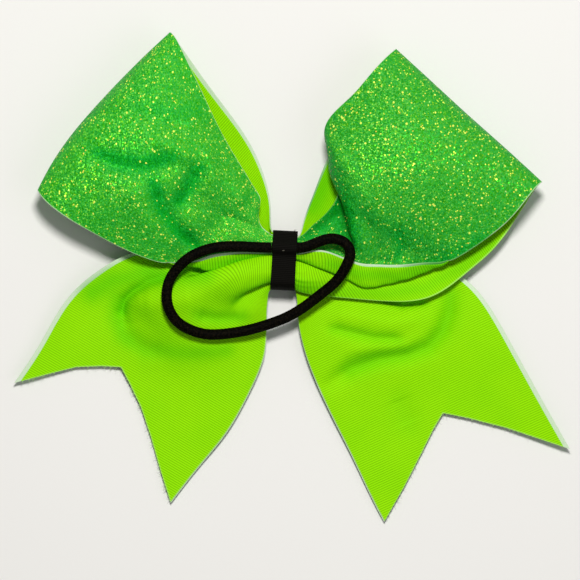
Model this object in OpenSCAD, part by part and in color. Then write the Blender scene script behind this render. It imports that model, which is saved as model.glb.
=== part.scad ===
// Cheer hair bow: two ribbon loops and two swallowtail tails of one laminated ribbon,
// gathered at the middle under a narrow band that also holds a hair elastic.
// The bow lies on its face: +Z is the side that goes against the hair.
// The layout is drawn on a grid of 1/200 of the ribbon's width, so the whole bow follows ribbon_w.

/* [Ribbon] */
// Width of the ribbon, which sets the size of the whole bow
ribbon_w = 76.2; // [57:0.1:80]
// Thickness of the grosgrain ribbon
grosgrain_t = 0.5; // [0.3:0.05:0.6]
// Thickness of the glitter overlay with its white carrier
glitter_t = 0.6; // [0.3:0.05:0.7]
// Depth of the swallowtail notch, in ribbon rows
notch_depth = 1.77; // [1.2:0.01:1.9]

/* [Knot] */
// Width of the centre band
band_w = 9.5; // [8:0.1:11]
// Thickness of the centre band
band_t = 0.6; // [0.4:0.05:0.8]
// Height of the knot over the resting plane
knot_h = 17.6; // [17:0.1:18.5]
// Length of the knot across the ribbon
knot_l = 22.2; // [21.6:0.1:23]
// Width of the cinching tie
tie_w = 2.6; // [2:0.1:4]
// Number of pleats in each gathered pass
pleats = 4; // [3:1:5]

/* [Hair elastic] */
// Diameter of the hair elastic
elastic_d = 4; // [3.6:0.1:4]

/* [Hidden] */

u = ribbon_w / 200;          // one layout unit
mid_a = 292;                 // layout position of the origin, across
mid_b = 277.5;                // layout position of the origin, down
knot_a = 284;                // layout position of the band's centre line
knot_b = 260.5;
el_b = 247.5;                // layout position of the held run of the elastic
el_z = 15;                   // height of the held run of the elastic
band_turn = -3;              // the band leans a little, in degrees
eps = 0.01;

// layout position to millimetres
function at(p) = [(p[0] - mid_a) * u, (mid_b - p[1]) * u, p[2]];

// ---- the ribbon's shape -------------------------------------------------------------------
// Each row runs across the ribbon from one selvage to the other: [across, down, height].

// left loop, front half: from the knot out to the fold, lying near the resting plane
left_front_rows = [
  [[264,226,4.6],[262,243,3.2],[260,260,2.6],[258,276,2.8]],
  [[270,205,5],[256,228,3.2],[244,248,2.2],[230,272,2.4]],
  [[262,171,6],[238,199,3.4],[215,229,2],[190,266,2.2]],
  [[247,139,7],[217,171,3.6],[183,211,2],[152,258,3]],
  [[223,105,8.5],[188,143,4.2],[150,189,2.4],[112,244,4.5]],
  [[200,74,10.5],[160,113,5.4],[118,162,3.4],[76,222,7]],
  [[178,43,12.5],[140,79,8.4],[99,121,7.2],[68,160,8.4],[45,199,11]],
  [[171,34,15.5],[145,58,14.2],[117,86,13.6],[75,133,13.6],[51,168,14.6],[39,191,15.2]]];
// left loop, back half: from the fold back to the knot, domed
left_back_rows = [
  [[171,34,15.5],[145,58,14.2],[117,86,13.6],[75,133,13.6],[51,168,14.6],[39,191,15.2]],
  [[175,37,19],[150,62,21],[122,92,22],[82,138,22],[60,172,20.5],[45,200,18.8]],
  [[186,56,20.5],[158,86,25],[125,126,27],[96,168,25.5],[68,218,20]],
  [[204,92,20],[178,119,26],[148,156,28],[120,196,25.5],[96,234,18.5]],
  [[223,130,18],[200,151,24],[175,179,24.5],[150,212,22.5],[127,250,16]],
  [[242,164,16],[222,181,20],[200,199,18.5],[181,224,18],[160,262,13.5]],
  [[256,188,14.4],[242,203,15.4],[226,220,14.4],[212,240,12.8],[196,264,11.4]],
  [[260,209,12],[252,222,12.4],[244,236,12],[238,248,11.4],[232,260,10.8]],
  [[264,229,11.2],[263,237,11.2],[262,245,11],[261,251,10.8],[260,257,10.6]]];
// right loop, front half
right_front_rows = [
  [[304,236,5],[305,250,4.6],[306,264,6],[306,278,6.6],[305,291,6.2]],
  [[306,221,5.8],[311,240,4.6],[319,260,5.6],[329,280,6.8],[340,297,6.6]],
  [[313,196,6.2],[325,222,4.4],[341,250,4.8],[360,278,6.5],[382,301,7.5]],
  [[325,165,7],[345,195,4.4],[372,232,4],[402,268,5.6],[428,298,8]],
  [[345,126,8],[372,160,4.2],[405,198,2.8],[440,236,4.2],[468,272,8.2]],
  [[369,88,9.5],[400,118,5],[437,157,3],[472,197,4.6],[503,238,9]],
  [[389,56,11.5],[425,88,7.5],[462,122,6.2],[500,157,7.2],[534,191,10.5]],
  [[395,50,15],[431,83,13.6],[468,117,13],[505,150,13.4],[541,183,14]]];
// right loop, back half, with the pleat beside the knot
right_back_rows = [
  [[395,50,15],[431,83,13.6],[468,117,13],[505,150,13.4],[541,183,14]],
  [[389,55,18.5],[425,87,20.5],[462,121,21.5],[500,155,20],[534,189,17.5]],
  [[371,74,20],[400,104,25],[437,141,26.5],[476,179,22.5],[514,214,17]],
  [[349,99,19.5],[377,128,26],[411,162,27.5],[450,199,22.5],[488,237,15.5]],
  [[326,131,17],[352,158,24.5],[385,190,25.5],[425,226,19.5],[456,258,13.5]],
  [[334,178,15],[347,184,20],[367,204,22.5],[392,230,18],[425,268,11]],
  [[336,208,10.5],[348,216,13],[366,226,16.5],[382,246,14],[392,281,9.8]],
  [[318,226,8.9],[332,236,8.6],[346,246,9.2],[357,259,9.6],[362,283,9.2]],
  [[306,236,9],[307,243,9],[308,250,9],[309,257,9],[310,266,8.9]]];
// left tail, from the knot down to the cut
left_tail_rows = [
  [[263,258,7.4],[263,266,8.2],[263,274,8.6],[263,282,8.2],[263,290,7]],
  [[236,256,6.4],[238,268,7.4],[241,280,8.6],[247,293,8.4],[265,307,5.2]],
  [[205,253,6.2],[212,270,7.6],[220,287,9.4],[235,305,8.4],[267,325,4.6]],
  [[171,251,6.4],[182,272,7],[196,298,9.2],[218,322,8],[266,345,4]],
  [[135,252,6.6],[150,283,6],[170,312,7.8],[210,342,6.6],[261,367,3.6]],
  [[101,269,6.4],[125,302,4.8],[157,337,5.6],[200,370,4.6],[246,400,3]],
  [[68,298,5.6],[92,322,3.6],[124,349,3.2],[166,382,3],[226,434,2.6]],
  [[41,342,4.4],[72,366,2.4],[112,397,1.8],[154,430,1.8],[200,466,2]],
  [[14,383,3.6],[50,411,2],[92,443,1.4],[132,473,1.4],[171,503,2]]];
// right tail, from the knot down to the cut
right_tail_rows = [
  [[305,246,1.9],[305,257,2.1],[304,268,2.7],[303,280,3.3],[301,293,3.5]],
  [[345,238,1.5],[334,262,1.8],[320,287,2.8],[310,303,3.8],[298,318,4]],
  [[395,245,1.3],[372,272,1.8],[346,301,3.8],[326,326,5],[304,349,4.2]],
  [[438,262,2],[412,292,2.8],[380,322,5],[348,352,5],[315,380,3.8]],
  [[474,287,3.8],[444,315,4.4],[408,347,5],[370,382,3.6],[331,415,3]],
  [[503,329,4.8],[464,356,4],[425,385,3],[388,418,2.2],[350,453,2.4]],
  [[535,387,4.6],[492,406,2.8],[450,430,2],[410,459,1.8],[369,493,2]],
  [[570,449,4.4],[524,467,2.2],[478,486,1.4],[431,504,1.3],[384,522,1.8]]];
// route of the hair elastic: out of the knot on one side and back in on the other
elastic_route = [
  [271.6,247.5,15],[262,247.5,15],[250,247,15.2],[236,246.5,15.8],[220,247,16.4],[203,251,16.8],
  [189,258,16.8],[178,268,16.4],[170,280,16],[167,294,15.9],[169,308,15.4],[177,321,14.3],
  [189,329,13.1],[206,334,12],[227,333.5,11.2],[248,330,10.8],[269,324,10.6],[287,317,10.9],
  [304,307,11.8],[321,294,13],[337,280,14.4],[346,266,15.6],[350,254,16.2],[346,244,16.2],
  [335,239,15.8],[324,240,15.4],[311,245,15.1],[303,247.5,15],[296.4,247.5,15]];

// ---- curves and sheets --------------------------------------------------------------------
function spline(a, b, c, d, t) =
  0.5 * (2 * b + (c - a) * t + (2 * a - 5 * b + 4 * c - d) * t * t + (3 * b - a - 3 * c + d) * t * t * t);
function before(p) = 2 * p[0] - p[1];
function after(p) = 2 * p[len(p) - 1] - p[len(p) - 2];
function pick(p, i) = i < 0 ? before(p) : i >= len(p) ? after(p) : p[i];
// point t of the smooth curve through p, where t counts p's own points
function on(p, t) = let (i = min(floor(t), len(p) - 2))
  spline(pick(p, i - 1), p[i], p[i + 1], pick(p, i + 2), t - i);
function running(p) = [for (i = 0, s = 0; i < len(p);
  s = s + (i + 1 < len(p) ? norm(p[i + 1] - p[i]) : 0), i = i + 1) s];
// n + 1 points at equal distances along the smooth curve through p
function even(p, n) = let (k = 6 * (len(p) - 1), q = [for (i = [0:k]) on(p, i / 6)], s = running(q),
  x = [for (i = [0:k]) [s[i], q[i][0]]], y = [for (i = [0:k]) [s[i], q[i][1]]], z = [for (i = [0:k]) [s[i], q[i][2]]])
  [for (i = [0:n]) let (d = s[k] * i / n) [lookup(d, x), lookup(d, y), lookup(d, z)]];
function laid(rows, n) = [for (r = rows) even([for (p = r) at(p)], n)];
function column(g, j) = [for (r = g) r[j]];
// grid of points: start[j] to stop[j] are row positions for column j
function sheet(g, start, stop, m) = let (c = [for (j = [0:len(g[0]) - 1]) column(g, j)])
  [for (i = [0:m]) [for (j = [0:len(c) - 1]) on(c[j], start[j] + (stop[j] - start[j]) * i / m)]];
function unit(v) = v / norm(v);
// direction of the sheet's face at each grid point
function normal(g, i, j) = let (m = len(g) - 1, n = len(g[0]) - 1)
  unit(cross(g[min(i + 1, m)][j] - g[max(i - 1, 0)][j], g[i][min(j + 1, n)] - g[i][max(j - 1, 0)]));

// closed skin between two offsets of rows first to last of a grid
module skin(g, low, high, first, last) {
  m = last - first;
  n = len(g[0]) - 1;
  w = n + 1;
  h = (m + 1) * w;
  dirs = [for (i = [first:last]) [for (j = [0:n]) normal(g, i, j)]];
  pts = concat([for (i = [0:m], j = [0:n]) g[first + i][j] + low * dirs[i][j]],
               [for (i = [0:m], j = [0:n]) g[first + i][j] + high * dirs[i][j]]);
  under = [for (i = [0:m - 1], j = [0:n - 1], f = [0, 1]) let (a = i * w + j)
    f == 0 ? [a, a + w, a + w + 1] : [a, a + w + 1, a + 1]];
  over = [for (t = under) [t[0] + h, t[2] + h, t[1] + h]];
  side_a = [for (i = [0:m - 1], f = [0, 1]) let (a = i * w, b = a + w)
    f == 0 ? [a, a + h, b + h] : [a, b + h, b]];
  side_b = [for (i = [0:m - 1], f = [0, 1]) let (a = i * w + n, b = a + w)
    f == 0 ? [a, b + h, a + h] : [a, b, b + h]];
  end_a = [for (j = [0:n - 1], f = [0, 1]) let (a = j, b = j + 1)
    f == 0 ? [a, b + h, a + h] : [a, b, b + h]];
  end_b = [for (j = [0:n - 1], f = [0, 1]) let (a = m * w + j, b = a + 1)
    f == 0 ? [a, a + h, b + h] : [a, b + h, b]];
  polyhedron(points = pts, faces = concat(under, over, side_a, side_b, end_a, end_b), convexity = 6);
}

loop_n = 12;   // cells across a loop
tail_n = 10;   // cells across a tail
function same(v, n) = [for (j = [0:n]) v];
// row at which the swallowtail cut crosses column j
function cut(last, apex) = [for (j = [0:tail_n]) let (v = j / tail_n)
  last - notch_depth * (v < apex ? v / apex : (1 - v) / (1 - apex))];

// each loop is one grid, from the knot out over the fold and back: fold is its row on the fold line
function beyond(p) = [for (i = [1:len(p) - 1]) p[i]];
fold = 21;
loop_m = 45;
left_loop = sheet(laid(concat(left_front_rows, beyond(left_back_rows)), loop_n), same(0, loop_n), same(15, loop_n), loop_m);
right_loop = sheet(laid(concat(right_front_rows, beyond(right_back_rows)), loop_n), same(0, loop_n), same(15, loop_n), loop_m);
tail_gap = 0.05;             // half of the gap at a tail's bend, in rows
left_bend = 5;               // row at which a tail bends on its joint
right_bend = 4.5;
left_laid = laid(left_tail_rows, tail_n);
right_laid = laid(right_tail_rows, tail_n);
left_root = sheet(left_laid, same(0, tail_n), same(left_bend - tail_gap, tail_n), 11);
left_end = sheet(left_laid, same(left_bend + tail_gap, tail_n), cut(8, 0.4), 8);
right_root = sheet(right_laid, same(0, tail_n), same(right_bend - tail_gap, tail_n), 11);
right_end = sheet(right_laid, same(right_bend + tail_gap, tail_n), cut(7, 0.5), 8);

// face = 1 where the grosgrain is on the grid's own normal side, -1 where it is on the other
module grosgrain(g, face, first, last) {
  color("chartreuse") if (face > 0) skin(g, 0, grosgrain_t, first, last); else skin(g, -grosgrain_t, 0, first, last);
}
module glitter(g, face, first, last) {
  color("limegreen") if (face > 0) skin(g, -glitter_t, 0, first, last); else skin(g, 0, glitter_t, first, last);
}

// ---- the knot -----------------------------------------------------------------------------
// rounded rectangle of size l by h, standing from z = base, drawn as a polygon
function rounded(l, h, base, r, k = 8) = [for (c = [[1, 1, 0], [-1, 1, 90], [-1, -1, 180], [1, -1, 270]], i = [0:k])
  [c[0] * (l / 2 - r) + r * cos(c[2] + 90 * i / k), base + h / 2 + c[1] * (h / 2 - r) + r * sin(c[2] + 90 * i / k)]];
// ring of a strap of thickness t, width w along X
module strap(l, h, base, r, t, w) {
  rotate([90, 0, 90]) translate([0, 0, -w / 2]) linear_extrude(height = w) difference() {
    polygon(rounded(l, h, base, r));
    polygon(rounded(l - 2 * t, h - 2 * t, base + t, r - t));
  }
}
module at_knot() { translate([(knot_a - mid_a) * u, (mid_b - knot_b) * u, 0]) rotate([0, 0, band_turn]) children(); }
el_y = (knot_b - el_b) * u;  // the elastic's offset from the knot's centre

module centre_band() { color("black") at_knot() strap(knot_l, knot_h, 0, 3, band_t, band_w); }
// the band's glued end, lying inside the band on the lower back face
module band_lap() {
  color("black") at_knot() translate([0, -4.6, knot_h - band_t - 0.56]) cube([band_w - 0.4, 6.4, 1.1], center = true);
}
// pleated pass of the ribbon through the knot
module pass(base, l) {
  n = 2 * pleats;
  zig = [for (i = [0:n]) [-l / 2 + l * i / n, i % 2]];
  rotate([90, 0, 90]) translate([0, 0, -band_w / 2 + 1.2]) linear_extrude(height = band_w - 2.4)
    polygon(concat([for (p = zig) [p[0], base + 1.3 * p[1]]], [for (i = [n:-1:0]) [zig[i][0], base + 1.3 * zig[i][1] + 1.3]]));
}
module gather_pass_front() { color("chartreuse") at_knot() pass(1.9, 18.4); }
module gather_pass_middle() { color("chartreuse") at_knot() pass(4.9, 18.4); }
module gather_pass_back() { color("limegreen") at_knot() pass(7.9, 18.4); }
// tie pulled tight round the three passes
module cinch_tie() { color("white") at_knot() strap(20.2, 10.1, 1.2, 1.2, 0.65, tie_w); }
module tie_head() { color("white") at_knot() translate([0, -10.3 + 4.4, 11.3 + 1.4]) cube([tie_w + 1.6, 4.2, 2.7], center = true); }
// glue that beds the elastic on the passes
module glue_bed() {
  color("ivory") at_knot() difference() {
    translate([0, el_y, 12.55]) cube([band_w - 1, 5.6, 2.3], center = true);
    translate([0, el_y, el_z]) rotate([0, 0, -band_turn]) rotate([0, 90, 0]) cylinder(d = elastic_d, h = band_w + 8, center = true, $fn = 48);
  }
}
module front_glue() { color("ivory") at_knot() translate([0, 0, 0.9]) cube([band_w - 1.5, 12, 0.6], center = true); }

// ---- the elastic --------------------------------------------------------------------------
module elastic_held_run() {
  color([0.08, 0.08, 0.09]) translate(at([271.8, el_b, el_z])) rotate([0, 90, 0])
    cylinder(d = elastic_d, h = 24.4 * u, $fn = 48);
}
module hair_elastic() {
  p = [for (q = elastic_route) at(q)];
  n = 60;
  sides = 10;
  c = even(p, n);
  t = [for (i = [0:n]) i == 0 ? [-1, 0, 0] : i == n ? [-1, 0, 0] : unit(c[i + 1] - c[i - 1])];
  // ring frames are carried along the route, so that the tube doesn't twist
  side = [for (i = 0, s = [0, 1, 0]; i <= n; i = i + 1, s = unit(s - (s * t[min(i, n)]) * t[min(i, n)])) s];
  pts = [for (i = [0:n], k = [0:sides - 1]) let (a = 360 * k / sides, v = unit(side[i] - (side[i] * t[i]) * t[i]), w = cross(t[i], v))
    c[i] + elastic_d / 2 * (cos(a) * v + sin(a) * w)];
  walls = [for (i = [0:n - 1], k = [0:sides - 1], f = [0, 1]) let (a = i * sides + k, b = i * sides + (k + 1) % sides)
    f == 0 ? [a, a + sides, b + sides] : [a, b + sides, b]];
  color([0.08, 0.08, 0.09]) polyhedron(points = pts,
    faces = concat([[for (k = [0:sides - 1]) k]], [[for (k = [sides - 1:-1:0]) n * sides + k]], walls), convexity = 8);
}

// ---- the ribbon's pieces ------------------------------------------------------------------
module left_loop_front_ribbon() { grosgrain(left_loop, 1, 0, fold); }
module left_loop_front_glitter() { glitter(left_loop, 1, 0, fold); }
module left_loop_back_ribbon() { grosgrain(left_loop, 1, fold, loop_m); }
module left_loop_back_glitter() { glitter(left_loop, 1, fold, loop_m); }
module left_tail_root_ribbon() { grosgrain(left_root, 1, 0, 11); }
module left_tail_root_glitter() { glitter(left_root, 1, 0, 11); }
module left_tail_end_ribbon() { grosgrain(left_end, 1, 0, 8); }
module left_tail_end_glitter() { glitter(left_end, 1, 0, 8); }
module right_loop_front_ribbon() { grosgrain(right_loop, -1, 0, fold); }
module right_loop_front_glitter() { glitter(right_loop, -1, 0, fold); }
module right_loop_back_ribbon() { grosgrain(right_loop, -1, fold, loop_m); }
module right_loop_back_glitter() { glitter(right_loop, -1, fold, loop_m); }
module right_tail_root_ribbon() { grosgrain(right_root, -1, 0, 11); }
module right_tail_root_glitter() { glitter(right_root, -1, 0, 11); }
module right_tail_end_ribbon() { grosgrain(right_end, -1, 0, 8); }
module right_tail_end_glitter() { glitter(right_end, -1, 0, 8); }

centre_band();
band_lap();
cinch_tie();
tie_head();
glue_bed();
front_glue();
gather_pass_front();
gather_pass_middle();
gather_pass_back();
elastic_held_run();
left_loop_front_ribbon();
left_loop_front_glitter();
left_loop_back_ribbon();
left_loop_back_glitter();
left_tail_root_ribbon();
left_tail_root_glitter();
right_loop_front_ribbon();
right_loop_front_glitter();
right_loop_back_ribbon();
right_loop_back_glitter();
right_tail_root_ribbon();
right_tail_root_glitter();
left_tail_end_ribbon();
left_tail_end_glitter();
right_tail_end_ribbon();
right_tail_end_glitter();
hair_elastic();
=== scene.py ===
import math

import bpy
import numpy as np
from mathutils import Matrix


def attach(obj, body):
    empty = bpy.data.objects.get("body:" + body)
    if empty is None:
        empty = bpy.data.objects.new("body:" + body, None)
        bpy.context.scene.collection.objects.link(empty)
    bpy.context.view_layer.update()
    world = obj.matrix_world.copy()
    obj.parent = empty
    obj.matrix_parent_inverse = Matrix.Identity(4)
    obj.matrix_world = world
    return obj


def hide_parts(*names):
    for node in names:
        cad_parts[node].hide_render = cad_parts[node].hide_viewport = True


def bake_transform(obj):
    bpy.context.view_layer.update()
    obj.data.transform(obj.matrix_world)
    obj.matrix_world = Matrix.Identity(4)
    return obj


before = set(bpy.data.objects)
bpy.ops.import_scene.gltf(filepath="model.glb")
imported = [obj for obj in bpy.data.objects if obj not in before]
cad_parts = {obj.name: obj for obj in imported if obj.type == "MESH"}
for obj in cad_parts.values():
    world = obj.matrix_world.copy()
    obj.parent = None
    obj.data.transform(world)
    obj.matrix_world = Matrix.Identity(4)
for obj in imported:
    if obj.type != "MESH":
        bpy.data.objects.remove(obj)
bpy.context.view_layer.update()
MM = 0.001
U = 0.381  # one layout unit in mm: 1/200 of the ribbon's width
WIDTH = 76.2


def at(p):
    """Layout position (across, down, height) to mm in the row frame."""
    p = np.asarray(p, float)
    return np.stack([(p[..., 0] - 292) * U, (277.5 - p[..., 1]) * U, p[..., 2]], -1)


# ---------------------------------------------------------------- camera
cam_data = bpy.data.cameras.new("view")
cam_data.lens = 977.4
cam_data.sensor_width = 36
cam_data.clip_start = 0.1
cam_data.clip_end = 20
cam = bpy.data.objects.new("view", cam_data)
cam.location = (-0.00076, -0.00476, 6.0)
bpy.context.scene.collection.objects.link(cam)
bpy.context.scene.camera = cam


# ---------------------------------------------------------------- curves
def second(t, y):
    n = len(t)
    h = np.diff(t)
    a = np.zeros((n, n))
    r = np.zeros_like(y)
    a[0, 0] = a[-1, -1] = 1
    for i in range(1, n - 1):
        a[i, i - 1 : i + 2] = h[i - 1], 2 * (h[i - 1] + h[i]), h[i]
        r[i] = 6 * ((y[i + 1] - y[i]) / h[i] - (y[i] - y[i - 1]) / h[i - 1])
    return np.linalg.solve(a, r)


def spline(t, y, q):
    """Natural cubic spline through y at t, read at q."""
    shape = y.shape[1:]
    y = y.reshape(len(t), -1)
    m = second(t, y)
    k = np.clip(np.searchsorted(t, q) - 1, 0, len(t) - 2)
    h = t[k + 1] - t[k]
    a = ((t[k + 1] - q) / h)[:, None]
    b = ((q - t[k]) / h)[:, None]
    h = h[:, None]
    out = a * y[k] + b * y[k + 1] + ((a**3 - a) * m[k] + (b**3 - b) * m[k + 1]) * h * h / 6
    return out.reshape((len(q),) + shape)


def smooth_curve(p, n, fine=600):
    """n points at equal distances along the smooth curve through p."""
    p = np.asarray(p, float)
    t = np.concatenate([[0], np.cumsum(np.linalg.norm(np.diff(p, axis=0), axis=1) ** 0.5)])
    c = spline(t, p, np.linspace(0, t[-1], fine))
    s = np.concatenate([[0], np.cumsum(np.linalg.norm(np.diff(c, axis=0), axis=1))])
    q = np.linspace(0, s[-1], n)
    return np.stack([np.interp(q, s, c[:, i]) for i in range(3)], 1), s[-1]


def laid_row(row, n):
    """n points across the cloth. A fourth number in a row's point is its place across the cloth, 0 to 1."""
    p = at(np.array([q[:3] for q in row], float))
    t = np.concatenate([[0], np.cumsum(np.linalg.norm(np.diff(p, axis=0), axis=1) ** 0.5)])
    c = spline(t, p, np.linspace(0, t[-1], 900))
    s = np.concatenate([[0], np.cumsum(np.linalg.norm(np.diff(c, axis=0), axis=1))])
    known = np.interp(t, np.linspace(0, t[-1], 900), s)
    places = [(0.0, 0.0)] + [(q[3], known[k]) for k, q in enumerate(row) if len(q) > 3] + [(1.0, s[-1])]
    q = np.interp(np.linspace(0, 1, n), [a[0] for a in places], [a[1] for a in places])
    return np.stack([np.interp(q, s, c[:, i]) for i in range(3)], 1)


def base_grid(rows, m, n, relax=3):
    """m x n points of the smooth sheet through the rows, with the distance along it of each row."""
    r = np.array([laid_row(row, n) for row in rows])
    d = np.linalg.norm(np.diff(r, axis=0), axis=2).mean(1)
    t = np.concatenate([[0], np.cumsum(d**0.5)])
    g = spline(t, r, np.linspace(0, t[-1], 4 * m))
    s = np.concatenate([[0], np.cumsum(np.linalg.norm(np.diff(g, axis=0), axis=2).mean(1))])
    q = np.linspace(0, s[-1], m)
    k = np.clip(np.searchsorted(s, q) - 1, 0, len(s) - 2)
    f = ((q - s[k]) / (s[k + 1] - s[k]))[:, None, None]
    g = g[k] * (1 - f) + g[k + 1] * f
    for _ in range(relax):
        g[1:-1] = 0.5 * g[1:-1] + 0.25 * (g[2:] + g[:-2])
        g[:, 1:-1] = 0.5 * g[:, 1:-1] + 0.25 * (g[:, 2:] + g[:, :-2])
    rows_at = np.interp(t, np.linspace(0, t[-1], 4 * m), s)
    return g, q, rows_at


def read(g, i, j):
    """Grid g read at fractional places i, j (arrays of one shape)."""
    i0 = np.clip(np.floor(i).astype(int), 0, g.shape[0] - 2)
    j0 = np.clip(np.floor(j).astype(int), 0, g.shape[1] - 2)
    a = (i - i0)[..., None]
    b = (j - j0)[..., None]
    return (
        g[i0, j0] * (1 - a) * (1 - b)
        + g[i0 + 1, j0] * a * (1 - b)
        + g[i0, j0 + 1] * (1 - a) * b
        + g[i0 + 1, j0 + 1] * a * b
    )


def faces_of(g):
    """Direction of the sheet's face at each point of a grid."""
    du = np.gradient(g, axis=0)
    dv = np.gradient(g, axis=1)
    n = np.cross(du, dv)
    return n / np.maximum(np.linalg.norm(n, axis=2, keepdims=True), 1e-12)


def line_distance(xy, line):
    """Distance of points to a polyline, and how far along it the nearest place is, 0 to 1."""
    line = np.asarray(line, float)
    best = np.full(xy.shape[:-1], 1e9)
    where = np.zeros(xy.shape[:-1])
    lens = np.linalg.norm(np.diff(line, axis=0), axis=1)
    total = lens.sum()
    run = 0
    for k in range(len(line) - 1):
        d = line[k + 1] - line[k]
        f = np.clip(((xy - line[k]) @ d) / (d @ d), 0, 1)
        dist = np.linalg.norm(xy - (line[k] + f[..., None] * d), axis=-1)
        near = dist < best
        best = np.where(near, dist, best)
        where = np.where(near, (run + f * lens[k]) / total, where)
        run += lens[k]
    return best, where


def press(g, features):
    """Folds and hollows: each is (line in layout units, height mm, half-width in units, rows from, to as a share)."""
    m = len(g)
    xy = np.stack([g[..., 0] / U + 292, 277.5 - g[..., 1] / U], -1)
    share = np.linspace(0, 1, m)[:, None] * np.ones(g.shape[1])
    for line, height, wide, lo, hi in features:
        d, f = line_distance(xy, line)
        ends = np.clip(np.minimum(f, 1 - f) * 5 + 0.45, 0, 1) if len(line) > 1 else 1
        gate = np.clip((share - lo) * 30 + 1, 0, 1) * np.clip((hi - share) * 30 + 1, 0, 1)
        g[..., 2] += height * np.exp(-((d / wide) ** 2)) * ends * gate
    return g


# LIT: the fixed light direction that the painted shade below is worked out from
LIT = np.array([0.02, 0.40, 0.916])


def paint_shade(g, shade_lines):
    """Painted shade, 0 to 1, at each place of the cloth: folds turned away from the light direction LIT, and the listed
    shade lines, are painted a deeper green.
    """
    n = faces_of(g)
    side = 1 if np.mean(n[..., 2]) > 0 else -1
    # painted shade from the tilt: both faces of the cloth fold together, so only the tilt counts
    tilt = np.abs(n @ LIT)
    h = 0.6 * np.clip((0.84 - tilt) / 0.45, 0, 1)
    xy = np.stack([g[..., 0] / U + 292, 277.5 - g[..., 1] / U], -1)
    share = np.linspace(0, 1, len(g))[:, None] * np.ones(g.shape[1])
    for line, amount, wide, lo, hi in shade_lines:
        d, f = line_distance(xy, line)
        gate = np.clip((share - lo) * 30 + 1, 0, 1) * np.clip((hi - share) * 30 + 1, 0, 1)
        h = h + (1 - h) * amount * np.exp(-((d / wide) ** 2)) * gate
    for _ in range(6):
        h[1:-1, 1:-1] = (h[1:-1, 1:-1] * 4 + h[:-2, 1:-1] + h[2:, 1:-1] + h[1:-1, :-2] + h[1:-1, 2:]) / 8
    return h


def gather(g, s, from_start, size, waves, reach, seed):
    """Fine pleats that run out of the knot and fade away along the ribbon."""
    rng = np.random.default_rng(seed)
    n = faces_of(g)
    v = np.linspace(0, 1, g.shape[1])
    bend = v + 0.02 * np.sin(2 * math.pi * (v * 1.7 + rng.random()))
    wave = np.zeros_like(v)
    for k, share in ((1.0, 1.0), (1.63, 0.55), (2.41, 0.3)):
        wave += share * np.sin(2 * math.pi * (bend * waves * k + rng.random()))
    d = s if from_start else s[-1] - s
    fade = np.exp(-d / reach)
    rim = np.clip(np.minimum(v, 1 - v) * 12, 0.3, 1)
    return g + n * (size * fade[:, None] * (wave * rim)[None, :])[..., None]


# ---------------------------------------------------------------- meshes
def make_mesh(name, verts, faces, mats, which=None, uv=None, sharp=None, floats=None):
    """verts in mm."""
    me = bpy.data.meshes.new(name)
    me.from_pydata((np.asarray(verts) * MM).tolist(), [], [list(map(int, f)) for f in faces])
    me.update()
    for m in mats:
        me.materials.append(m)
    count = len(me.polygons)
    if which is not None:
        me.polygons.foreach_set("material_index", np.asarray(which, np.int32))
    me.polygons.foreach_set("use_smooth", np.ones(count, bool))
    if uv is not None:
        layer = me.uv_layers.new(name="cloth")
        index = np.zeros(len(me.loops), np.int32)
        me.loops.foreach_get("vertex_index", index)
        layer.data.foreach_set("uv", np.asarray(uv, np.float32)[index].ravel())
    if floats:
        for key, values in floats.items():
            a = me.attributes.new(key, "FLOAT", "POINT")
            a.data.foreach_set("value", np.asarray(values, np.float32))
    if sharp is not None:
        a = me.attributes.new("sharp_edge", "BOOLEAN", "EDGE")
        pairs = np.zeros(len(me.edges) * 2, np.int32)
        me.edges.foreach_get("vertices", pairs)
        marked = np.zeros(len(verts), bool)
        marked[list(sharp)] = True
        pairs = pairs.reshape(-1, 2)
        a.data.foreach_set("value", (marked[pairs[:, 0]] & marked[pairs[:, 1]]))
    ob = bpy.data.objects.new(name, me)
    bpy.context.scene.collection.objects.link(ob)
    return ob


def ring_faces(m, loop, closed=False):
    """Quads of m rings of loop points each."""
    i, k = np.meshgrid(np.arange(m if closed else m - 1), np.arange(loop), indexing="ij")
    i2 = (i + 1) % m
    k2 = (k + 1) % loop
    return np.stack([i * loop + k, i2 * loop + k, i2 * loop + k2, i * loop + k2], -1).reshape(-1, 4)


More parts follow.
